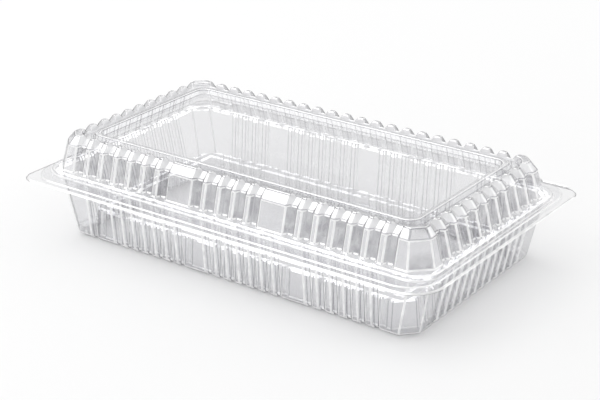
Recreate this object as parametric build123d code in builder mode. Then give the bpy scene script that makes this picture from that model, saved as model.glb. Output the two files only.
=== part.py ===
from build123d import *
from math import atan2, hypot, tan
import os

# Hinged food container: clear thermoformed tray and lid, joined along the back edge
# X runs along the long sides, -Y is the front with the lifting tab, Z is up
# The origin is the middle of the footprint on the table, sizes are in millimetres

# The sheet it is formed from and the gap between the closed halves
sheet = 0.5
seam = 0.3

# Mouth of the tray and the flange round it
mouth_length = 222.0
mouth_width = 118.0
side_flange = 9.0
long_flange = 14.0
flange_top = 33.0
tab_radius = 8.0
round_radius = 16.0
lip_drop = 1.2

# Tray wall, the hollow ring it stands on and the floor raised inside it
wall_taper_x = 7.1
wall_taper_y = 2.6
foot_bevel = 2.4
foot_bevel_rise = 2.0
foot_ring = 3.0
tray_corner = 7.0
floor_rise = 14.0
floor_draft = 1.2
floor_corner = 9.0

# Ribs of the tray wall, left out where it has plain panels
rib_pitch = 6.9
rib_depth = 1.3
rib_width = 2.2
rib_slope = 0.9
rib_margin = 1.2
rib_panel = 10.6
rib_panel_pitch = 59.0
front_panel_shift = 9.0
back_panel_shift = 4.0
floor_rib_depth = 1.0

# Snap bead round the mouth, which the ledge of the lid nests over
bead_rise = 2.0
bead_width = 2.2
bead_slope = 0.7
bead_radius = 12.0

# Lid flange, set back from the edge of the tray flange
edge_step_x = 3.3
edge_step_y = 2.5
lid_edge_radius = 16.0
hinge_margin = 22.0
hinge_radius = 0.45

# Lid wall and shoulder, measured in and up from the foot of the wall
wall_offset_x = 0.5
wall_offset_y = 0.4
lid_corner = 9.0
shoulder_rise = 13.0
shoulder_inset = 3.6
crest_rise = 17.4
crest_inset = 7.2
crest_groove = 5.6

# Gutter behind the crest, stacking rim and window
gutter_inset = 9.8
gutter_foot_inset = 11.0
gutter_depth = 3.2
gutter_radius = 7.0
rim_inset = 13.4
rim_width = 5.2
rim_slope = 1.3
rim_rise = 2.5
rim_radius = 8.0
window_radius = 4.0

# Flutes of the lid wall
flute_pitch = 9.15
flute_depth = 2.2
flute_width = 3.4
flute_slope = 1.5
flute_margin = 4.0
flute_panel = 12.0
flute_panel_spacing = 55.0

# Half sizes and levels that follow from the sizes above
mouth_x = mouth_length / 2
mouth_y = mouth_width / 2
flange_length = mouth_length + 2 * side_flange
flange_width = mouth_width + 2 * long_flange
foot_x = mouth_x - wall_taper_x - foot_bevel
foot_y = mouth_y - wall_taper_y - foot_bevel
floor_x = foot_x - foot_ring
floor_y = foot_y - foot_ring
bead_x = mouth_x + bead_width + bead_slope
bead_y = mouth_y + bead_width + bead_slope
lid_edge_x = flange_length / 2 - edge_step_x
lid_edge_y = flange_width / 2 - edge_step_y
lid_foot_x = mouth_x + wall_offset_x
lid_foot_y = mouth_y + wall_offset_y
lid_bottom = flange_top + seam
bead_top = flange_top + bead_rise
lid_foot = bead_top + seam + sheet
shoulder_level = lid_foot + shoulder_rise
crest_level = lid_foot + crest_rise
gutter_level = crest_level - gutter_depth
rim_top = gutter_level + rim_rise
hinge_length = flange_length - 2 * hinge_margin
hinge_y = flange_width / 2 - hinge_radius
hinge_z = flange_top + seam / 2
flat_enough = 1e-6


def groove_places(length, pitch, panels=(), panel_width=0.0):
    """Middles of the grooves along a side, evenly spaced between its plain panels."""
    stops = [-length / 2]
    for panel in panels:
        if abs(panel) + panel_width / 2 < length / 2:
            stops += [panel - panel_width / 2, panel + panel_width / 2]
    stops.append(length / 2)
    places = []
    for start, end in zip(stops[0::2], stops[1::2]):
        count = round((end - start) / pitch)
        places += [start + (end - start) * (number + 0.5) / count for number in range(count)]
    return places


def grooved_outline(half_x, half_y, corner, grooves, depth, width, slope, inset):
    """Corner points of a cut-cornered rectangle whose sides carry grooves, moved in by inset."""
    half_x -= inset
    half_y -= inset
    corner -= inset * (2 - 2**0.5)
    spread = inset * tan(atan2(depth, slope) / 2)
    front, right, back, left = grooves
    sides = [
        ((-half_x + corner, -half_y), (half_x - corner, -half_y), front),
        ((half_x, -half_y + corner), (half_x, half_y - corner), right),
        ((half_x - corner, half_y), (-half_x + corner, half_y), back),
        ((-half_x, half_y - corner), (-half_x, -half_y + corner), left),
    ]
    points = []
    for start, end, places in sides:
        length = hypot(end[0] - start[0], end[1] - start[1])
        along = ((end[0] - start[0]) / length, (end[1] - start[1]) / length)
        inward = (-along[1], along[0])
        stations = [(0.0, 0.0)]
        for place in places:
            middle = length / 2 + place
            bottom = width / 2 + spread
            top = bottom + slope
            stations += [(middle - top, 0.0), (middle - bottom, depth)]
            stations += [(middle + bottom, depth), (middle + top, 0.0)]
        stations.append((length, 0.0))
        for run, deep in stations:
            x = start[0] + along[0] * run + inward[0] * deep
            y = start[1] + along[1] * run + inward[1] * deep
            points.append((x, y))
    return points


def rib_outline(half_x, half_y, corner, depth, inset):
    """Outline of the tray wall or the floor at one level."""
    return grooved_outline(half_x, half_y, corner, rib_places, depth, rib_width, rib_slope, inset)


def flute_outline(wall_inset, depth, inset):
    """Outline of the lid wall where it has come in by wall_inset."""
    corner = lid_corner - wall_inset * (2 - 2**0.5)
    x = lid_foot_x - wall_inset
    y = lid_foot_y - wall_inset
    return grooved_outline(x, y, corner, flute_places, depth, flute_width, flute_slope, inset)


def stacked_form(sections):
    """Solid with flat facets through closed outlines, each given with its level."""
    rings = [[Vector(x, y, level) for x, y in points] for level, points in sections]
    facets = [Face(Wire.make_polygon(rings[0])), Face(Wire.make_polygon(rings[-1]))]
    for low, high in zip(rings, rings[1:]):
        for a, b, c, d in zip(low, low[1:] + low[:1], high[1:] + high[:1], high):
            twist = abs((b - a).cross(c - a).dot(d - a))
            if twist < flat_enough:
                corners = [(a, b, c, d)]
            elif (c - a).length < (d - b).length:
                corners = [(a, b, c), (a, c, d)]
            else:
                corners = [(a, b, d), (b, c, d)]
            facets += [Face(Wire.make_polygon(points)) for points in corners]
    return Solid(Shell(facets))


def rounded_block(bottom, top, half_x, half_y, radius, lean):
    """Rounded rectangle that comes in by lean on its way up."""
    with BuildPart() as block:
        with BuildSketch(Plane.XY.offset(bottom)):
            RectangleRounded(2 * half_x, 2 * half_y, radius)
        with BuildSketch(Plane.XY.offset(top)):
            RectangleRounded(2 * (half_x - lean), 2 * (half_y - lean), radius - lean)
        loft(ruled=True)
    return block.part


def flange_block(bottom, top, inset):
    """Outline of the tray flange, square but for the round corner at the front right."""
    to_round_corner = Axis((0, 0, 0), (1, -1, 0))
    with BuildPart() as block:
        with BuildSketch(Plane.XY.offset(bottom)) as outline:
            Rectangle(flange_length - 2 * inset, flange_width - 2 * inset)
            fillet(outline.vertices().sort_by(to_round_corner)[-1], round_radius - inset)
            fillet(outline.vertices().sort_by(to_round_corner)[:3], tab_radius - inset)
        extrude(amount=top - bottom)
    return block.part


def tray_form(top, inset):
    """Outside of the tray up to a level, or one sheet further in, the space inside it."""
    climb = (top - foot_bevel_rise) / (bead_top - foot_bevel_rise)
    bevel_x = foot_x + foot_bevel
    bevel_y = foot_y + foot_bevel
    top_x = bevel_x + wall_taper_x * climb
    top_y = bevel_y + wall_taper_y * climb
    cover = sheet - inset
    wall = stacked_form([
        (inset, rib_outline(foot_x, foot_y, tray_corner, rib_depth, inset)),
        (foot_bevel_rise + inset / 2, rib_outline(bevel_x, bevel_y, tray_corner, rib_depth, inset)),
        (top, rib_outline(top_x, top_y, tray_corner, rib_depth, inset)),
    ])
    top_floor_x = floor_x - floor_draft
    top_floor_y = floor_y - floor_draft
    top_corner = floor_corner - floor_draft
    under_floor = stacked_form([
        (-cover, rib_outline(floor_x, floor_y, floor_corner, floor_rib_depth, cover)),
        (floor_rise - cover, rib_outline(top_floor_x, top_floor_y, top_corner, floor_rib_depth, cover)),
    ])
    with BuildPart() as form:
        add(wall)
        add(under_floor, mode=Mode.SUBTRACT)
    return form.part


def lid_form(inset):
    """Outside of the lid above its flange, or one sheet further in, the space inside it."""
    wall = stacked_form([
        (lid_foot - sheet, flute_outline(0.0, flute_depth, inset)),
        (shoulder_level - inset / 2, flute_outline(shoulder_inset, flute_depth, inset)),
        (crest_level - inset, flute_outline(crest_inset, crest_groove, inset)),
    ])
    step = seam + sheet - inset
    ledge = rounded_block(lid_bottom, lid_foot - inset, bead_x + step, bead_y + step,
                          bead_radius + step, bead_slope)
    top_level = gutter_level - inset
    gutter_in = gutter_foot_inset - inset
    gutter = rounded_block(top_level, crest_level, lid_foot_x - gutter_in, lid_foot_y - gutter_in,
                           gutter_radius + inset, gutter_inset - gutter_foot_inset)
    rim_in = rim_inset + inset
    rim = rounded_block(top_level - sheet, rim_top - inset, lid_foot_x - rim_in, lid_foot_y - rim_in,
                        rim_radius - inset, rim_slope)
    window_in = rim_inset + rim_width - inset
    window = rounded_block(top_level, rim_top, lid_foot_x - window_in, lid_foot_y - window_in,
                           window_radius + inset, -rim_slope)
    with BuildPart() as form:
        add(wall)
        add(ledge)
        add(gutter, mode=Mode.SUBTRACT)
        add(rim)
        add(window, mode=Mode.SUBTRACT)
    return form.part


rib_run_x = 2 * (floor_x - floor_corner - rib_margin)
rib_run_y = 2 * (floor_y - floor_corner - rib_margin)
front_panels = [rib_panel_pitch * number + front_panel_shift for number in (-1.5, -0.5, 0.5)]
back_panels = [rib_panel_pitch * number - back_panel_shift for number in (-1, 0, 1)]
rib_places = (
    groove_places(rib_run_x, rib_pitch, front_panels, rib_panel),
    groove_places(rib_run_y, rib_pitch),
    groove_places(rib_run_x, rib_pitch, back_panels, rib_panel),
    groove_places(rib_run_y, rib_pitch),
)

flute_run_x = 2 * (lid_foot_x - crest_inset - lid_corner + flute_margin) - flute_pitch / 2
flute_run_y = 2 * (lid_foot_y - crest_inset - lid_corner + flute_margin) - flute_pitch / 2
flute_panels = [-flute_panel_spacing / 2, flute_panel_spacing / 2]
flute_places = (
    groove_places(flute_run_x, flute_pitch, flute_panels, flute_panel),
    groove_places(flute_run_y, flute_pitch),
    groove_places(flute_run_x, flute_pitch),
    groove_places(flute_run_y, flute_pitch),
)

# Tray: flange with a turned-down lip, snap bead, ribbed wall, foot ring and raised floor
lip_bottom = flange_top - lip_drop
plate_bottom = flange_top - sheet
tray_outside = tray_form(bead_top, 0.0)
tray_inside = tray_form(bead_top + sheet, sheet)
flange = flange_block(lip_bottom, flange_top, 0.0)
under_flange = flange_block(lip_bottom, plate_bottom, sheet)
bead = rounded_block(plate_bottom, bead_top, bead_x, bead_y, bead_radius, bead_slope)
under_bead = rounded_block(plate_bottom, bead_top - sheet, bead_x - sheet, bead_y - sheet,
                           bead_radius - sheet, bead_slope)

with BuildPart() as bead_hollow:
    add(under_bead)
    add(tray_outside, mode=Mode.SUBTRACT)

with BuildPart() as base:
    add(flange)
    add(under_flange, mode=Mode.SUBTRACT)
    with BuildSketch(Plane.XY.offset(lip_bottom)):
        with Locations((0, flange_width / 2)):
            Rectangle(hinge_length, 2 * sheet)
    extrude(amount=lip_drop - sheet, mode=Mode.SUBTRACT)
    with BuildSketch(Plane.YZ.offset(-hinge_length / 2)):
        with Locations((hinge_y, hinge_z)):
            Circle(hinge_radius)
    extrude(amount=hinge_length)
    add(bead)
    add(tray_outside)
    add(bead_hollow.part, mode=Mode.SUBTRACT)
    add(tray_inside, mode=Mode.SUBTRACT)
base.part.label = "base"

# Lid: flange that reaches the hinge line, nesting ledge, fluted wall, gutter, rim and window
hinge_reach = hinge_y - hinge_radius - seam - bead_y
lid_plate = rounded_block(lid_bottom, lid_bottom + sheet, lid_edge_x, lid_edge_y, lid_edge_radius, 0.0)
lid_outside = lid_form(0.0)
lid_inside = lid_form(sheet)

with BuildPart() as lid:
    add(lid_plate)
    with BuildSketch(Plane.XY.offset(lid_bottom)):
        with Locations((0, bead_y)):
            Rectangle(hinge_length, hinge_reach, align=(Align.CENTER, Align.MIN))
    extrude(amount=sheet)
    add(lid_outside)
    add(lid_inside, mode=Mode.SUBTRACT)
lid.part.label = "lid"

os.makedirs("parts", exist_ok=True)
export_step(base.part, "parts/base.step")
export_step(lid.part, "parts/lid.step")
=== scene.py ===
# %% [markdown]
# # A clear hinged food container
# The container is one sheet of clear PET, heated and drawn into a mould: a ribbed tray, a fluted lid and
# the folded line between them. The solid model already has every rib and flute at its real size, so this
# file gives it its looks: a clear plastic that is mostly seen by its edges, a white studio and the camera.

# %% The solid model
from math import cos, radians, sin

import bmesh
import bpy
from mathutils import Matrix, Vector


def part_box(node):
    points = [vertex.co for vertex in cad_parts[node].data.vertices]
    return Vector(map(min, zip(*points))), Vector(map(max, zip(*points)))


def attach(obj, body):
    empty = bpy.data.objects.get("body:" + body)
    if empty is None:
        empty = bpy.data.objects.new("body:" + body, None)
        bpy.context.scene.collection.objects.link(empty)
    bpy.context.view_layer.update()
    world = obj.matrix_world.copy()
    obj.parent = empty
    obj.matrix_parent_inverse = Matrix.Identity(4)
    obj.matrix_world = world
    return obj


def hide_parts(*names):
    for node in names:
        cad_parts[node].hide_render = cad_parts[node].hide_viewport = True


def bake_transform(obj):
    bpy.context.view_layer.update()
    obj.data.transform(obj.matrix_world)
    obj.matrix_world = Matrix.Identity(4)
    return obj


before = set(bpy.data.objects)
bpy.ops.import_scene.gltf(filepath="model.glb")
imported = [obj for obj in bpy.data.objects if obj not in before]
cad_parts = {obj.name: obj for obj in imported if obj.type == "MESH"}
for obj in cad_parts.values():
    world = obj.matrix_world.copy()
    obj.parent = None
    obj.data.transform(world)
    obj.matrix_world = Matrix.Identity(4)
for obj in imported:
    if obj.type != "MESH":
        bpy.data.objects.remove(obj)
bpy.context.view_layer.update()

# %% [markdown]
# ## Camera
# The photograph was taken from the right of the front side and a little above, with a long lens. The camera
# is placed by three angles and a distance round the middle of the footprint, then slid sideways and up so
# that the container lands where it does in the frame. Angles are easier to read and adjust than a matrix.

# %% Camera
AZIMUTH = radians(36.22)
ELEVATION = radians(23.15)
ROLL = radians(-0.47)
DISTANCE = 0.78309
SLIDE_RIGHT = 0.00162
SLIDE_UP = 0.02184
LENS = 92.81
SENSOR = 36.0

back = Vector((sin(AZIMUTH) * cos(ELEVATION), -cos(AZIMUTH) * cos(ELEVATION), sin(ELEVATION)))
level_right = Vector((cos(AZIMUTH), sin(AZIMUTH), 0.0))
level_up = back.cross(level_right)
right = level_right * cos(ROLL) + level_up * sin(ROLL)
up = level_up * cos(ROLL) - level_right * sin(ROLL)

camera_data = bpy.data.cameras.new("camera")
camera_data.lens = LENS
camera_data.sensor_width = SENSOR
camera_data.clip_start = 0.01
camera = bpy.data.objects.new("camera", camera_data)
bpy.context.scene.collection.objects.link(camera)
turn = Matrix((right, up, back)).transposed().to_4x4()
place = back * DISTANCE + level_right * SLIDE_RIGHT + level_up * SLIDE_UP
camera.matrix_world = Matrix.Translation(place) @ turn
bpy.context.scene.camera = camera
print("camera at", [round(c, 4) for c in place])

# %% [markdown]
# ## Colours and nodes
# Colours are written as the hex values that a paint program shows, and one function turns them to the
# linear numbers that the shaders count in. Another small function adds a node, sets its sockets and links
# it, so that each material below reads as a list of steps.


# %% Colour and node helpers
def colour(hex_value):
    """Linear RGBA of an sRGB hex colour."""
    channels = [int(hex_value[i:i + 2], 16) / 255 for i in (1, 3, 5)]
    linear = [c / 12.92 if c <= 0.04045 else ((c + 0.055) / 1.055) ** 2.4 for c in channels]
    return (*linear, 1.0)


def add_node(tree, kind, sockets=None, **settings):
    """Adds a node, sets its properties, and fills or links its input sockets by name or number."""
    node = tree.nodes.new(kind)
    for name, value in settings.items():
        setattr(node, name, value)
    for name, value in (sockets or {}).items():
        if isinstance(value, bpy.types.NodeSocket):
            tree.links.new(value, node.inputs[name])
        else:
            node.inputs[name].default_value = value
    return node


def new_material(name):
    """An empty node material and its tree."""
    material = bpy.data.materials.new(name)
    material.use_nodes = True
    material.node_tree.nodes.clear()
    return material, material.node_tree


# %% [markdown]
# ## One film for each formed sheet
# The solids have two faces, half a millimetre apart, because a real sheet has a thickness. To the eye it is
# one film, so each piece here keeps only the outer face, which makes the plastic clearer and the render
# faster. It could also be drawn as solid glass, but then each sheet bends the light twice, which takes many
# more bounces and samples to come out clean. The narrow strip along the cut edge joins the two faces of a
# sheet. Once its faces are tagged as a fence, a walk from face to face stays on one side, and the other
# side can be deleted.


# %% Sides of a sheet
def sides_of(form):
    """The groups of faces that untagged faces form with their neighbours."""
    groups = []
    met = set()
    for first in form.faces:
        if first.tag or first in met:
            continue
        met.add(first)
        group = [first]
        for face in group:
            for edge in face.edges:
                for neighbour in edge.link_faces:
                    if not neighbour.tag and neighbour not in met:
                        met.add(neighbour)
                        group.append(neighbour)
        groups.append(group)
    return groups


def reach(faces, axis):
    """Lowest and highest place of some faces along an axis."""
    places = [vert.co[axis] for face in faces for vert in face.verts]
    return min(places), max(places)


def highest(groups):
    """The group of faces that reaches furthest up."""
    return max(groups, key=lambda group: reach(group, 2)[1])


def lowest(groups):
    """The group of faces that reaches furthest down."""
    return min(groups, key=lambda group: reach(group, 2)[0])


# %% [markdown]
# ## Slots of the faces
# One mesh can carry several materials, and each face holds the number of its own. The numbers get names
# here. The first faces to get one are those of the narrow level ring that joins the tops of the ribs.

# %% Slots of the faces
ON_WALL, ON_EDGE, ON_CAP, ON_SHADED_STRIP, ON_ROW = range(5)
LEVEL = 0.99
RING = (0.0340, 0.0350)


def is_within(place, span):
    """Whether a number lies between the two ends of a span."""
    return span[0] < place < span[1]


def mark_ring(form):
    """Gives the narrow ring that joins the tops of the ribs the slot of an edge, with its painted highlight.
    """
    for face in form.faces:
        if abs(face.normal.z) > LEVEL and is_within(reach([face], 2)[0], RING):
            face.material_index = ON_EDGE


# %% [markdown]
# ## Rows of painted light on the floor
# In the photograph, rows of bright dashes run along the feet of the ribs and a little further in on the
# floor, and here they are a painted highlight. A shader could draw them by the distance from the outline,
# but a row that has faces of its own is easier to see and to move. Planes that run inside the outline of
# the floor cut it into bands.

# %% Rows on the floor
FLOOR = (0.013, 0.015)
ROW_LINES = (0.0030, 0.0058, 0.0084)


def floor_faces(form):
    """The level faces of the tray's floor."""
    return [f for f in form.faces if abs(f.normal.z) > LEVEL and is_within(f.calc_center_median().z, FLOOR)]


def mark_floor_rows(form):
    """Cuts two bands along the outline of the floor, for the painted highlight at the feet of the ribs."""
    parts = floor_faces(form)
    if not parts:
        return
    half = [reach(parts, axis)[1] for axis in (0, 1)]
    for inside in ROW_LINES:
        for axis in (0, 1):
            for side in (-1, 1):
                cut, across = [0.0, 0.0, 0.0], [0.0, 0.0, 0.0]
                cut[axis], across[axis] = side * (half[axis] - inside), 1.0
                parts = floor_faces(form)
                around = {part for face in parts for part in (*face.edges, *face.verts)}
                bmesh.ops.bisect_plane(form, geom=[*parts, *around], plane_co=cut, plane_no=across)
    for face in floor_faces(form):
        place = face.calc_center_median()
        inside = min(half[0] - abs(place.x), half[1] - abs(place.y))
        if inside < ROW_LINES[0] or is_within(inside, ROW_LINES[1:]):
            face.material_index = ON_ROW


# %% [markdown]
# ## Row of painted light at the tops of the ribs
# Another bright row, also a painted highlight, runs along the tops of the ribs, close under the mouth of
# the tray. One level plane cuts all that it meets, and the upright faces between it and the ring are the row.

# %% Row at the tops of the ribs
UPRIGHT = 0.3
RIB_TOPS = 0.0326
WELD = 0.00002


def mark_rib_tops(form):
    """Cuts a band round the tops of the ribs."""
    everything = form.verts[:] + form.edges[:] + form.faces[:]
    bmesh.ops.bisect_plane(form, geom=everything, plane_co=(0, 0, RIB_TOPS), plane_no=(0, 0, 1))
    for face in form.faces:
        low, high = reach([face], 2)
        if RIB_TOPS - WELD < low and high < RING[1] and abs(face.normal.z) < UPRIGHT:
            face.material_index = ON_ROW


# %% [markdown]
# ## Rounded edges
# A mould leaves no sharp edge, so every edge is rounded with a bevel. Edges that stick out, and level ones
# that run round the container below the lid's wall, show as bright lines and get wide strips, which carry a
# painted highlight. Edges that point in show as thin grey lines and get narrow strips, which carry painted
# shade. Each kind of strip has its own material slot. The steep strips of the window's frame and of the
# crest are put with the grey ones and their painted shade, because the photograph shows them grey. A Bevel
# modifier would round the edges too, but it can't tell these kinds apart.

# %% Rounded edges
RIDGE_WIDTH = 0.0006
VALLEY_WIDTH = 0.0003
SHARP = radians(14)
LEDGE_TOP = 0.040
GENTLE_RISE = 0.3
RIM_FOOT = 0.0495
STEEP = 0.75


def is_level(edge):
    """Whether an edge runs level round the container, below the lid's wall."""
    first, last = [vert.co for vert in edge.verts]
    return max(first.z, last.z) < LEDGE_TOP and abs(first.z - last.z) < GENTLE_RISE * (first - last).length


def round_edges(form):
    """Bevels the bright edges, then the grey ones, and sorts the new strips into their slots."""
    for width, bright, slot in ((RIDGE_WIDTH, True, ON_EDGE), (VALLEY_WIDTH, False, ON_SHADED_STRIP)):
        edges = [e for e in form.edges if len(e.link_faces) == 2 and e.calc_face_angle() > SHARP
                 and (e.is_convex or is_level(e)) == bright]
        made = bmesh.ops.bevel(form, geom=edges, offset=width, offset_type="OFFSET", segments=2,
                               profile=0.5, affect="EDGES", clamp_overlap=False, material=-1)
        for face in made["faces"]:
            face.material_index = slot
        print("rounded", len(edges), "edges by", width * 1000, "mm")
    for face in form.faces:
        height = face.calc_center_median().z
        if face.material_index != ON_EDGE:
            continue
        if is_within(height, FLOOR) or is_within(height, RING):
            face.material_index = ON_ROW
        elif height > RIM_FOOT and abs(face.normal.z) < STEEP:
            face.material_index = ON_SHADED_STRIP


# %% [markdown]
# ## One face of a solid
# The mesh that comes with the solid is loose triangles, so a copy of it is merged first. Then the faces of
# the cut edge are tagged, all groups but the chosen one are deleted, and the triangles of each flat part
# are joined into one face, so that a bevel meets only real edges.

# %% One face of a solid
JOIN = radians(1)


def one_face(body, is_cut_edge, choose):
    """The chosen face of a formed sheet, merged and with its flat parts joined."""
    form = bmesh.new()
    form.from_mesh(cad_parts[body].data)
    bmesh.ops.remove_doubles(form, verts=form.verts, dist=WELD)
    bmesh.ops.dissolve_degenerate(form, dist=WELD, edges=form.edges)
    form.normal_update()
    for face in form.faces:
        face.tag = is_cut_edge(face)
    groups = sides_of(form)
    kept = choose(groups)
    hidden = [face for group in groups if group is not kept for face in group]
    bmesh.ops.delete(form, geom=hidden, context="FACES")
    bmesh.ops.dissolve_limit(form, angle_limit=JOIN, verts=form.verts, edges=form.edges)
    print(body, "had", len(groups), "sides, and the kept one has", len(form.faces), "flat parts")
    return form


# %% [markdown]
# ## The finished film
# Where many edges meet, a bevel that isn't clamped can throw a point out of the corner, so in the end all
# points are held inside the box of the solid. The Weighted Normal modifier keeps the large flat faces flat
# in the light, and leaves the bending to the narrow strips. The film takes the place of its solid and moves
# with it.

# %% Film from a solid
FACE_WEIGHT = 80


def film(name, body, is_cut_edge, choose):
    """The chosen face of a formed sheet, rounded and sorted into slots, in place of its solid."""
    form = one_face(body, is_cut_edge, choose)
    mark_ring(form)
    mark_floor_rows(form)
    mark_rib_tops(form)
    round_edges(form)
    low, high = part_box(body)
    for vert in form.verts:
        vert.co = [min(max(place, least), most) for place, least, most in zip(vert.co, low, high)]
    for face in form.faces:
        face.smooth = True
    mesh = bpy.data.meshes.new(name)
    form.to_mesh(mesh)
    form.free()
    piece = bpy.data.objects.new(name, mesh)
    bpy.context.scene.collection.objects.link(piece)
    piece.modifiers.new("level_faces", "WEIGHTED_NORMAL").weight = FACE_WEIGHT
    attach(piece, body)
    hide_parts(body)
    print(name, "has", len(mesh.polygons), "faces")
    return piece


# %% [markdown]
# ## Lid
# The outer face of the lid is the one that reaches highest, and its cut edge is an upright strip round the
# flange. On top of its wall the lid ends in a crest of small slopes, one for each flute, which take the
# light from above and get a slot of their own, for a painted highlight. They are found by their height and
# slope. Rounded edges on these slopes go with the grey strips and their painted shade.

# %% Lid
lid_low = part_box("lid")[0]
SHEET = 0.0005
NEAR = 0.0001
SHOULDER = 0.0487
CREST = 0.0531
CAP_SLOPE = (0.2, 0.95)
WINDOW_HALF = (0.1005, 0.0485)
CORNER_PLACE = (0.099, 0.047)
CUT_UPRIGHT = 0.1


def is_outside_rim(place):
    """Whether a place is on the outer slope of the lid, not on the window's frame."""
    return abs(place.x) > WINDOW_HALF[0] or abs(place.y) > WINDOW_HALF[1]


def is_at_corner(place):
    """Whether a place is in one of the cut corners."""
    return abs(place.x) > CORNER_PLACE[0] and abs(place.y) > CORNER_PLACE[1]


def is_lid_edge(face):
    """The upright strip round the lid flange."""
    return abs(face.normal.z) < CUT_UPRIGHT and reach([face], 2)[1] < lid_low.z + SHEET + NEAR


lid_film = film("lid_sheet", "lid", is_lid_edge, highest)
for face in lid_film.data.polygons:
    on_slope = is_within(face.center.z, (SHOULDER, CREST)) and is_within(face.normal.z, CAP_SLOPE)
    if not on_slope or not is_outside_rim(face.center):
        continue
    if face.material_index == ON_EDGE:
        face.material_index = ON_SHADED_STRIP
    elif not is_at_corner(face.center):
        face.material_index = ON_CAP
print("crest slopes:", sum(face.material_index == ON_CAP for face in lid_film.data.polygons))

# %% [markdown]
# ## Tray
# The outer face of the tray is the one that reaches lowest. Its cut edge points down, under the lip of the
# flange, but is upright along the back, where the hinge is.

# %% Tray
tray_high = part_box("base")[1]
LIP_LEVEL = 0.0318
CUT_FACING = 0.9


def is_tray_edge(face):
    """The strip under the lip of the tray flange, and the one along its back."""
    low, high = reach([face], 2)
    under_lip = face.normal.z < -CUT_FACING and LIP_LEVEL - NEAR < low and high < LIP_LEVEL + NEAR
    along_back = face.normal.y > CUT_FACING and reach([face], 1)[0] > tray_high.y - SHEET - NEAR
    return under_lip or along_back


tray_film = film("tray_sheet", "base", is_tray_edge, lowest)
print("faces in the rows of light:", sum(face.material_index == ON_ROW for face in tray_film.data.polygons))

# %% [markdown]
# ## Living hinge
# Tray and lid are one sheet on the real thing, folded along the back. The fold is a narrow strip that
# starts on the tray flange, turns round and ends on the lid flange. Its outline is five points, pulled
# along the hinge.

# %% Hinge strip
HINGE_HALF_LENGTH = 0.098
FOLD_START = (0.0728, 0.0325)
FOLD_END = (0.0718, 0.0338)
FOLD = [FOLD_START, (0.07298, 0.0328), (0.07298, 0.0333), (0.0726, 0.0337), FOLD_END]

form = bmesh.new()
verts = [form.verts.new((-HINGE_HALF_LENGTH, y, z)) for y, z in FOLD]
edges = [form.edges.new(pair) for pair in zip(verts, verts[1:])]
pulled = bmesh.ops.extrude_edge_only(form, edges=edges)
bmesh.ops.translate(form, verts=[v for v in pulled["geom"] if isinstance(v, bmesh.types.BMVert)],
                    vec=(2 * HINGE_HALF_LENGTH, 0, 0))
bmesh.ops.recalc_face_normals(form, faces=form.faces)
for face in form.faces:
    face.smooth = True
mesh = bpy.data.meshes.new("hinge_strip")
form.to_mesh(mesh)
form.free()
hinge_strip = bpy.data.objects.new("hinge_strip", mesh)
bpy.context.scene.collection.objects.link(hinge_strip)
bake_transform(hinge_strip)
print("hinge strip has", len(mesh.polygons), "faces")

# %% [markdown]
# ## White for haze and painted highlights
# Where the sheet is hazy it scatters light and looks faintly white. The same white, mixed in along bent
# edges and on the crest, is a painted highlight. The sheet is so thin that light from behind shows too, so
# the white is part Diffuse, lit from the front, and part Translucent, lit from the back, under a soft shine.
# A Diffuse shader alone would be dark where the light comes from behind.

# %% White for haze and painted highlights
WHITE = "#FFFFFF"
THROUGH = 0.4
SHINE = 0.6
SHINE_ROUGHNESS = 0.3


def haze_and_painted_highlight(tree):
    """White for haze and painted highlights, lit from both sides, with a soft shine."""
    front = add_node(tree, "ShaderNodeBsdfDiffuse", {"Color": colour(WHITE)})
    behind = add_node(tree, "ShaderNodeBsdfTranslucent", {"Color": colour(WHITE)})
    shine = add_node(tree, "ShaderNodeBsdfGlossy", {"Color": colour(WHITE), "Roughness": SHINE_ROUGHNESS})
    both = add_node(tree, "ShaderNodeMixShader", {0: THROUGH, 1: front.outputs[0], 2: behind.outputs[0]})
    return add_node(tree, "ShaderNodeMixShader", {0: SHINE, 1: both.outputs[0], 2: shine.outputs[0]})


# %% [markdown]
# ## Clear thermoformed PET
# A film this thin bends light so little that what is behind it stays in place. A Transparent shader mixed
# with a Glossy one gives that look with hardly any noise. Two things make such a film visible. It mirrors
# more the flatter you look along it, and it takes more light there, so walls seen edge on turn grey. A real
# sheet of PET mirrors about a tenth of the light that comes straight at its two faces, and these films
# start a little under or at that. Upright parts can get a tint darker than level ones, which is painted
# shade, and so is the grey that can be laid into the lid's flutes. A faint milky white, stronger in level
# parts, brings the window to its tone in the photograph. It is partly the haze of the sheet and partly
# painted light, in place of the light that the sheet bends onto the floor.

# %% Clear film
HAZE_AND_PAINTED_LIGHT = (0.02, 0.10)
SLANT_POWER = 3.0
PAINTED_FLUTE_GREY = "#C6C6C8"


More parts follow.
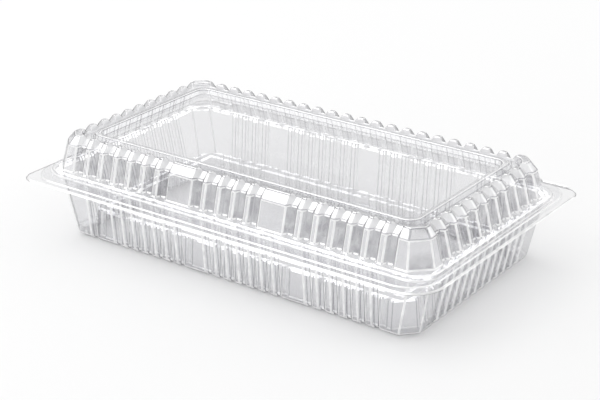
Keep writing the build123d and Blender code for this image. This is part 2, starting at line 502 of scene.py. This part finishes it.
def clear_film(tree, tints, mirrors, roughness, outline, painted_shade=None):
    """A thin clear film that mirrors by the angle, tinted for flat parts, walls (painted shade) and grazing
    views.
    """
    flat_tint, wall_tint, grazing_tint = [colour(tint) for tint in tints]
    place = add_node(tree, "ShaderNodeTexCoord")
    normal = add_node(tree, "ShaderNodeSeparateXYZ", {0: place.outputs["Normal"]})
    level = add_node(tree, "ShaderNodeMath", {0: normal.outputs["Z"]}, operation="ABSOLUTE")
    facing = add_node(tree, "ShaderNodeLayerWeight", {"Blend": 0.5})
    grazing = add_node(tree, "ShaderNodeMath", {0: facing.outputs["Facing"], 1: outline}, operation="POWER")
    slant = add_node(tree, "ShaderNodeMath", {0: facing.outputs["Facing"], 1: SLANT_POWER}, operation="POWER")
    # painted shade: upright walls get a darker tint than level parts
    own = add_node(tree, "ShaderNodeMix", {0: level.outputs[0], 6: wall_tint, 7: flat_tint}, data_type="RGBA")
    # painted shade in the flutes: where it is set, the tint is multiplied towards grey
    if painted_shade is not None:
        own = add_node(tree, "ShaderNodeMix", {0: painted_shade, 6: own.outputs[2], 7: colour(PAINTED_FLUTE_GREY)},
                       data_type="RGBA", blend_type="MULTIPLY")
    tint = add_node(tree, "ShaderNodeMix", {0: grazing.outputs[0], 6: own.outputs[2], 7: grazing_tint},
                    data_type="RGBA")
    clear = add_node(tree, "ShaderNodeBsdfTransparent", {"Color": tint.outputs[2]})
    # milky white, stronger in level parts: partly the sheet's haze, partly painted light
    milk_and_painted_light = add_node(tree, "ShaderNodeMapRange",
                    {"Value": level.outputs[0], "To Min": HAZE_AND_PAINTED_LIGHT[0], "To Max": HAZE_AND_PAINTED_LIGHT[1]})
    clear = add_node(tree, "ShaderNodeMixShader",
                     {0: milk_and_painted_light.outputs[0], 1: clear.outputs[0], 2: haze_and_painted_highlight(tree).outputs[0]})
    gloss = add_node(tree, "ShaderNodeBsdfGlossy", {"Color": colour(WHITE), "Roughness": roughness})
    mirror = add_node(tree, "ShaderNodeMapRange",
                      {"Value": slant.outputs[0], "To Min": mirrors[0], "To Max": mirrors[1]})
    return add_node(tree, "ShaderNodeMixShader",
                    {0: mirror.outputs[0], 1: clear.outputs[0], 2: gloss.outputs[0]})


# %% [markdown]
# ## Shadow of a clear film
# Light from a lamp goes through the film, or the inside would be dark. Is Shadow Ray picks out that light,
# and a Transparent shader of a set colour lets it through. The colour is nearly white in level parts, a
# little darker in walls, much darker towards their foot, where ribs stand behind ribs, and as dark in all
# that touches the floor. That gives a soft grey shadow with a dark foot. Bent light could be worked out
# instead, but it takes far longer.

# %% Lamp light through the film
WALL_FOOT = 0.0358
CONTACT = (0.001, 0.006)
CONTACT_LOSS = "#202020"


def let_light_through(tree, looks, losses):
    """The same surface, but a lamp's light comes through, by colours for level, low and high parts."""
    level_loss, foot_loss, top_loss = [colour(loss) for loss in losses]
    rays = add_node(tree, "ShaderNodeLightPath")
    place = add_node(tree, "ShaderNodeTexCoord")
    spot = add_node(tree, "ShaderNodeSeparateXYZ", {0: place.outputs["Object"]})
    height = add_node(tree, "ShaderNodeMapRange",
                      {"Value": spot.outputs["Z"], "From Min": 0.0, "From Max": WALL_FOOT})
    upright = add_node(tree, "ShaderNodeMix",
                       {0: height.outputs[0], 6: foot_loss, 7: top_loss}, data_type="RGBA")
    normal = add_node(tree, "ShaderNodeSeparateXYZ", {0: place.outputs["Normal"]})
    level = add_node(tree, "ShaderNodeMath", {0: normal.outputs["Z"]}, operation="ABSOLUTE")
    loss = add_node(tree, "ShaderNodeMix",
                    {0: level.outputs[0], 6: upright.outputs[2], 7: level_loss}, data_type="RGBA")
    lifted = add_node(tree, "ShaderNodeMapRange",
                      {"Value": spot.outputs["Z"], "From Min": CONTACT[0], "From Max": CONTACT[1]})
    loss = add_node(tree, "ShaderNodeMix",
                    {0: lifted.outputs[0], 6: colour(CONTACT_LOSS), 7: loss.outputs[2]}, data_type="RGBA")
    passing = add_node(tree, "ShaderNodeBsdfTransparent", {"Color": loss.outputs[2]})
    return add_node(tree, "ShaderNodeMixShader",
                    {0: rays.outputs["Is Shadow Ray"], 1: looks.outputs[0], 2: passing.outputs[0]})


# %% [markdown]
# ## Unevenness, and outside against inside
# A formed film isn't the same all over, and it looks different from its two sides, because a flute that is
# hollow from outside bulges inside. One helper gives noise with spots of a real size. The other makes an
# effect stronger on one side: Backfacing is 1 where a face is seen from inside.


# %% Unevenness and sides
def uneven(tree, spot, limits, least, detail):
    """Soft noise with spots of a size in metres, from a least value to 1."""
    place = add_node(tree, "ShaderNodeTexCoord")
    spots = add_node(tree, "ShaderNodeTexNoise",
                     {"Vector": place.outputs["Object"], "Scale": 1 / spot, "Detail": detail})
    shares = add_node(tree, "ShaderNodeMapRange",
                      {"Value": spots.outputs[0], "From Min": limits[0], "From Max": limits[1],
                       "To Min": least, "To Max": 1.0})
    return shares.outputs[0]


def by_side(tree, share, outside, inside):
    """A share, multiplied by one number where the film is seen from outside and by another from inside."""
    side = add_node(tree, "ShaderNodeNewGeometry")
    seen = add_node(tree, "ShaderNodeMapRange",
                    {"Value": side.outputs["Backfacing"], "To Min": outside, "To Max": inside})
    return add_node(tree, "ShaderNodeMath", {0: share, 1: seen.outputs[0]}, operation="MULTIPLY").outputs[0]


# %% [markdown]
# ## Depth in the flutes
# In the flutes of the lid the film is drawn deeper, and there it looks greyer than on the ridges between
# them. That grey is painted shade, laid on by depth. The depth of a place is how far it lies inside the
# plain outer wall, which leans in on its way up and is cut off at the corners. The three distances come from
# Object coordinates, and the smallest of them is the depth. The cut corners are treated as a little deeper
# than they are, so that they get painted shade too, because the photograph shows them grey. A shade
# painted into a picture would need the picture and a UV map, and this needs neither.

# %% Depth in the flutes
WALL_HALF = (0.1115, 0.0594)
WALL_TOP = 0.0488
WALL_LEAN = 0.0036
CORNER_CUT = 0.009
CORNER_GREY = 0.0016
DIAGONAL = 0.7071


def flute_depth(tree, split):
    """How far a place lies inside the plain outer wall of the lid, in metres."""
    lean = add_node(tree, "ShaderNodeMapRange",
                    {"Value": split.outputs["Z"], "From Min": WALL_FOOT, "From Max": WALL_TOP,
                     "To Min": 0.0, "To Max": WALL_LEAN})
    depths = []
    for axis, half in zip("XY", WALL_HALF):
        away = add_node(tree, "ShaderNodeMath", {0: split.outputs[axis]}, operation="ABSOLUTE")
        room = add_node(tree, "ShaderNodeMath", {0: half, 1: lean.outputs[0]}, operation="SUBTRACT")
        depth = add_node(tree, "ShaderNodeMath", {0: room.outputs[0], 1: away.outputs[0]},
                         operation="SUBTRACT")
        depths.append(depth.outputs[0])
    beyond_cut = add_node(tree, "ShaderNodeMath", {0: depths[0], 1: depths[1]}, operation="ADD")
    from_cut = add_node(tree, "ShaderNodeMath", {0: beyond_cut.outputs[0], 1: CORNER_CUT - CORNER_GREY},
                        operation="SUBTRACT")
    cut_depth = add_node(tree, "ShaderNodeMath", {0: from_cut.outputs[0], 1: DIAGONAL}, operation="MULTIPLY")
    nearest = add_node(tree, "ShaderNodeMath", {0: depths[0], 1: depths[1]}, operation="MINIMUM")
    return add_node(tree, "ShaderNodeMath", {0: nearest.outputs[0], 1: cut_depth.outputs[0]},
                    operation="MINIMUM").outputs[0]


# %% [markdown]
# ## Painted shade in the flutes
# The painted shade grows with the depth. It fades at the foot and the top of the wall, so that the ledge
# and the window stay clear, and it is faint from inside. Noise with spots of 6 mm, somewhat less than the
# 9.15 mm from flute to flute, makes it uneven.

# %% Painted shade in the flutes
FLUTE_DEPTH = 0.0022
DEEP = (0.1 * FLUTE_DEPTH, 0.5 * FLUTE_DEPTH)
FOOT_FADE = 0.001
TOP_FADE = 0.0008
PAINTED_SHADE_INSIDE = 0.1
MOTTLE = 0.006
MOTTLE_RANGE = (0.38, 0.62)
MOTTLE_LEAST = 0.45


def painted_flute_shade(tree):
    """Share of painted shade: 1 in the bottom of the lid's flutes, 0 on the ridges and everywhere else."""
    place = add_node(tree, "ShaderNodeTexCoord")
    split = add_node(tree, "ShaderNodeSeparateXYZ", {0: place.outputs["Object"]})
    deep = add_node(tree, "ShaderNodeMapRange",
                    {"Value": flute_depth(tree, split), "From Min": DEEP[0], "From Max": DEEP[1]})
    above = add_node(tree, "ShaderNodeMapRange",
                     {"Value": split.outputs["Z"], "From Min": WALL_FOOT, "From Max": WALL_FOOT + FOOT_FADE})
    below = add_node(tree, "ShaderNodeMapRange",
                     {"Value": split.outputs["Z"], "From Min": WALL_TOP + TOP_FADE, "From Max": WALL_TOP})
    band = add_node(tree, "ShaderNodeMath", {0: above.outputs[0], 1: below.outputs[0]}, operation="MULTIPLY")
    painted_shade = add_node(tree, "ShaderNodeMath", {0: deep.outputs[0], 1: band.outputs[0]}, operation="MULTIPLY")
    seen = by_side(tree, painted_shade.outputs[0], 1.0, PAINTED_SHADE_INSIDE)
    mottle = uneven(tree, MOTTLE, MOTTLE_RANGE, MOTTLE_LEAST, detail=2.0)
    return add_node(tree, "ShaderNodeMath", {0: seen, 1: mottle}, operation="MULTIPLY").outputs[0]


# %% [markdown]
# ## Walls, floor, flanges and window
# This is the plain film of the container, clear PET formed against a smooth mould. Looked at straight it
# takes about a tenth of the light, and along its outline it turns grey. What it mirrors stays nearly sharp.
# It carries the painted shade of the flutes. Its walls have a tint a little darker than the level parts,
# which is painted shade as well.

# %% PET wall
FILM_TINTS = ("#F6F6F7", "#F2F2F3", "#8C8C8F")
WALL_MIRRORS = (0.06, 0.50)
WALL_ROUGHNESS = 0.07
WALL_OUTLINE = 6.0
WALL_LOSSES = ("#FEFEFE", "#202020", "#F0F0F0")

wall, tree = new_material("clear_pet_wall")
body = clear_film(tree, FILM_TINTS, WALL_MIRRORS, WALL_ROUGHNESS, WALL_OUTLINE, painted_flute_shade(tree))
body = let_light_through(tree, body, WALL_LOSSES)
add_node(tree, "ShaderNodeOutputMaterial", {"Surface": body.outputs[0]})
print(wall.name, "has", len(tree.nodes), "nodes")

# %% [markdown]
# ## Lines along the edges
# In the real sheet, where the film turns a corner it gathers light from the whole studio and shows as a white
# line with a thin grey one beside it. Here the white line is a painted highlight: the same PET with white,
# lit from both sides, mixed in. Its strength changes about every 8 mm, and it fades where the strip is seen
# edge on, which leaves the grey of the film. Bent light would draw such lines by itself, but only in a solid
# sheet and after very many samples.

# %% PET edge
STRIP_ROUGHNESS = 0.10
STRIP_LOSSES = ("#E8E8E8", "#505050", "#E0E0E0")
EDGE_TINTS = ("#F6F6F7", "#F6F6F7", "#404043")
EDGE_MIRRORS = (0.10, 0.15)
EDGE_OUTLINE = 2.0
SHIMMER = 0.008
SHIMMER_RANGE = (0.35, 0.65)
SHIMMER_LEAST = 0.65
EDGE_FADE = (0.65, 0.92)
EDGE_LEAST = 0.05

edge, tree = new_material("clear_pet_edge")
body = clear_film(tree, EDGE_TINTS, EDGE_MIRRORS, STRIP_ROUGHNESS, EDGE_OUTLINE)
# painted highlight: white mixed into the edge strips, faded where they are seen edge on
white = haze_and_painted_highlight(tree)
facing = add_node(tree, "ShaderNodeLayerWeight", {"Blend": 0.5})
strong = uneven(tree, SHIMMER, SHIMMER_RANGE, SHIMMER_LEAST, detail=2.0)
share = add_node(tree, "ShaderNodeMapRange",
                 {"Value": facing.outputs["Facing"], "From Min": EDGE_FADE[0], "From Max": EDGE_FADE[1],
                  "To Min": strong, "To Max": EDGE_LEAST})
lined = add_node(tree, "ShaderNodeMixShader", {0: share.outputs[0], 1: body.outputs[0], 2: white.outputs[0]})
lined = let_light_through(tree, lined, STRIP_LOSSES)
add_node(tree, "ShaderNodeOutputMaterial", {"Surface": lined.outputs[0]})
print(edge.name, "has", len(tree.nodes), "nodes")

# %% [markdown]
# ## Feet and tops of the ribs
# The rounded ends of the ribs gather the light that comes through the tray, as a row of small lenses does,
# and here that light is a painted highlight. White paint would look grey here, inside the container, where
# less light falls, so the painted highlight is a Transparent shader with a value above one, which brightens
# what is behind it. Noise with spots of 4 mm, shorter than the 6.9 mm from rib to rib, breaks the row into
# dashes. From outside, where the ribs bulge the other way, the row is fainter.

# %% PET rib ends
ROW_MIRRORS = (0.06, 0.30)
ROW_LOSSES = ("#F4F4F4", "#505050", "#E0E0E0")
DASH = 0.004
DASH_RANGE = (0.38, 0.50)
DASH_LEAST = 0.1
HIGHLIGHT_GAIN = 1.75
ROW_OUTSIDE = 0.25

rib_end, tree = new_material("clear_pet_rib_foot")
body = clear_film(tree, FILM_TINTS, ROW_MIRRORS, STRIP_ROUGHNESS, WALL_OUTLINE)
# painted highlight: a Transparent shader above one brightens what is behind it
lens = add_node(tree, "ShaderNodeBsdfTransparent", {"Color": (HIGHLIGHT_GAIN, HIGHLIGHT_GAIN, HIGHLIGHT_GAIN, 1.0)})
dashes = uneven(tree, DASH, DASH_RANGE, DASH_LEAST, detail=1.0)
share = by_side(tree, dashes, ROW_OUTSIDE, 1.0)
dashed = add_node(tree, "ShaderNodeMixShader", {0: share, 1: body.outputs[0], 2: lens.outputs[0]})
dashed = let_light_through(tree, dashed, ROW_LOSSES)
add_node(tree, "ShaderNodeOutputMaterial", {"Surface": dashed.outputs[0]})
print(rib_end.name, "has", len(tree.nodes), "nodes")

# %% [markdown]
# ## Slopes of the crest
# These are the same PET again, in a tint a shade greyer than the walls, which is painted shade. They face
# the light from above, so a painted highlight of white makes them half white from outside. It is weaker
# from inside or where they are seen edge on, where they look greyer.

# %% PET crest
CAP_TINTS = ("#ECECEE", "#E4E4E7", "#404043")
CAP_FADE = (0.35, 0.75)
CAP_MOST = 0.5
CAP_LEAST = 0.02
CAP_INSIDE = 0.3

cap, tree = new_material("clear_pet_cap")
# painted shade: a tint greyer than the walls
body = clear_film(tree, CAP_TINTS, EDGE_MIRRORS, STRIP_ROUGHNESS, EDGE_OUTLINE)
# painted highlight: white mixed in, strongest where the slopes are seen face on
white = haze_and_painted_highlight(tree)
facing = add_node(tree, "ShaderNodeLayerWeight", {"Blend": 0.5})
share = add_node(tree, "ShaderNodeMapRange",
                 {"Value": facing.outputs["Facing"], "From Min": CAP_FADE[0], "From Max": CAP_FADE[1],
                  "To Min": CAP_MOST, "To Max": CAP_LEAST})
share = by_side(tree, share.outputs[0], 1.0, CAP_INSIDE)
capped = add_node(tree, "ShaderNodeMixShader", {0: share, 1: body.outputs[0], 2: white.outputs[0]})
capped = let_light_through(tree, capped, STRIP_LOSSES)
add_node(tree, "ShaderNodeOutputMaterial", {"Surface": capped.outputs[0]})
print(cap.name, "has", len(tree.nodes), "nodes")

# %% [markdown]
# ## Painted shade on hollow edges and steep strips
# An edge that points in is the same PET with painted shade: a tint darker than the walls and without the
# white of the outer edges, because little of the studio reaches into it. The steep strips of the window's
# frame and of the crest get the same painted shade.

# %% PET hollow edge
SHADED_STRIP_TINTS = ("#D0D0D3", "#D0D0D3", "#606063")
SHADED_STRIP_OUTLINE = 3.0

shaded_strip, tree = new_material("clear_pet_shaded_strip")
# painted shade: a tint darker than the walls
body = clear_film(tree, SHADED_STRIP_TINTS, ROW_MIRRORS, STRIP_ROUGHNESS, SHADED_STRIP_OUTLINE)
body = let_light_through(tree, body, STRIP_LOSSES)
add_node(tree, "ShaderNodeOutputMaterial", {"Surface": body.outputs[0]})
print(shaded_strip.name, "has", len(tree.nodes), "nodes")

# %% [markdown]
# ## Finishes on the pieces
# Each number that the faces were given gets its material, in the order of the numbers. A look through the
# container crosses many films, so a ray may go through more of them than the usual eight before it is given
# up.

# %% Finishes on the pieces
FILMS_IN_A_ROW = 48

finishes = {ON_WALL: wall, ON_EDGE: edge, ON_CAP: cap, ON_SHADED_STRIP: shaded_strip, ON_ROW: rib_end}
for piece in (lid_film, tray_film):
    for slot in sorted(finishes):
        piece.data.materials.append(finishes[slot])
    print(piece.name, "has", [material.name for material in piece.data.materials])
hinge_strip.data.materials.append(edge)
bpy.context.scene.cycles.transparent_max_bounces = FILMS_IN_A_ROW

# %% [markdown]
# ## Paper sweep
# The container stands on a sweep of matt white paper, which looks the same from every side and mirrors
# nothing. Near the container the paper takes its shadow. Further out it turns to plain white for the eye
# and for what the plastic mirrors, so that the picture has no horizon. Brighter lamps would make the paper
# white as well, but would wash out the plastic.

# %% Paper sweep
FLOOR_RADIUS = 6.0
FLOOR_DROP = 0.0001
PAPER = "#F6F6F6"
WHITE_FROM = 0.20
WHITE_FULL = 0.80


def seen_by_eye(tree):
    """1 for rays from the camera, gloss or glass, and 0 for those that carry light to a matt surface."""
    rays = add_node(tree, "ShaderNodeLightPath")
    either = add_node(tree, "ShaderNodeMath",
                      {0: rays.outputs["Is Camera Ray"], 1: rays.outputs["Is Glossy Ray"]},
                      operation="MAXIMUM")
    either = add_node(tree, "ShaderNodeMath",
                      {0: either.outputs[0], 1: rays.outputs["Is Transmission Ray"]},
                      operation="MAXIMUM")
    return either.outputs[0]


floor_mesh = bpy.data.meshes.new("floor")
form = bmesh.new()
bmesh.ops.create_circle(form, cap_ends=True, segments=64, radius=FLOOR_RADIUS)
bmesh.ops.translate(form, verts=form.verts, vec=(0, 0, -FLOOR_DROP))
form.to_mesh(floor_mesh)
form.free()
floor = bpy.data.objects.new("floor", floor_mesh)
bpy.context.scene.collection.objects.link(floor)

paper, tree = new_material("white_paper_sweep")
matt = add_node(tree, "ShaderNodeBsdfDiffuse", {"Color": colour(PAPER)})
lit = add_node(tree, "ShaderNodeEmission", {"Color": colour(WHITE), "Strength": 1.0})
place = add_node(tree, "ShaderNodeTexCoord")
away = add_node(tree, "ShaderNodeVectorMath", {0: place.outputs["Object"]}, operation="LENGTH")
far = add_node(tree, "ShaderNodeMapRange",
               {"Value": away.outputs["Value"], "From Min": WHITE_FROM, "From Max": WHITE_FULL})
share = add_node(tree, "ShaderNodeMath", {0: seen_by_eye(tree), 1: far.outputs[0]}, operation="MULTIPLY")
sweep = add_node(tree, "ShaderNodeMixShader", {0: share.outputs[0], 1: matt.outputs[0], 2: lit.outputs[0]})
add_node(tree, "ShaderNodeOutputMaterial", {"Surface": sweep.outputs[0]})
floor.data.materials.append(paper)
print("paper sweep is", 2 * FLOOR_RADIUS, "m across")

# %% [markdown]
# ## Room
# The room gives an even light from all sides, a little weaker than white. What the eye sees of it, straight
# or in the plastic, is plain white, like the far paper.

# %% Room
ROOM_LIGHT = 0.75

world = bpy.data.worlds.new("studio")
bpy.context.scene.world = world
world.use_nodes = True
tree = world.node_tree
tree.nodes.clear()
room = add_node(tree, "ShaderNodeBackground", {"Color": colour(WHITE), "Strength": ROOM_LIGHT})
white = add_node(tree, "ShaderNodeBackground", {"Color": colour(WHITE), "Strength": 1.0})
seen = add_node(tree, "ShaderNodeMixShader", {0: seen_by_eye(tree), 1: room.outputs[0], 2: white.outputs[0]})
add_node(tree, "ShaderNodeOutputWorld", {"Surface": seen.outputs[0]})
print("light of the room:", ROOM_LIGHT)

# %% [markdown]
# ## Softboxes
# Three softboxes add direction to the light: a large one high at the left, one at the front left and a weak
# one behind at the right. A softbox is a square lamp, and its size makes the rims of the shadow soft. All
# three are turned towards the container.

# %% Softboxes
AIM = Vector((0, 0, 0))
SOFTBOXES = {
    "key_left": ((-1.15, 0.35, 2.55), 1.4, 18.0),
    "fill_front": ((-1.1, -1.1, 1.3), 1.1, 7.0),
    "fill_right": ((1.3, 1.3, 1.1), 0.9, 3.0),
}

for name, (position, side_length, watts) in SOFTBOXES.items():
    data = bpy.data.lights.new(name, "AREA")
    data.shape = "RECTANGLE"
    data.size = side_length
    data.size_y = side_length
    data.energy = watts
    lamp = bpy.data.objects.new(name, data)
    bpy.context.scene.collection.objects.link(lamp)
    ahead = (AIM - Vector(position)).normalized()
    lamp.matrix_world = Matrix.Translation(position) @ ahead.to_track_quat("-Z", "Y").to_matrix().to_4x4()
    print(name, "gives", watts, "W")

# %% [markdown]
# ## Last things
# The Standard view shows a colour as it is written.

# %% View
bpy.context.scene.view_settings.view_transform = "Standard"
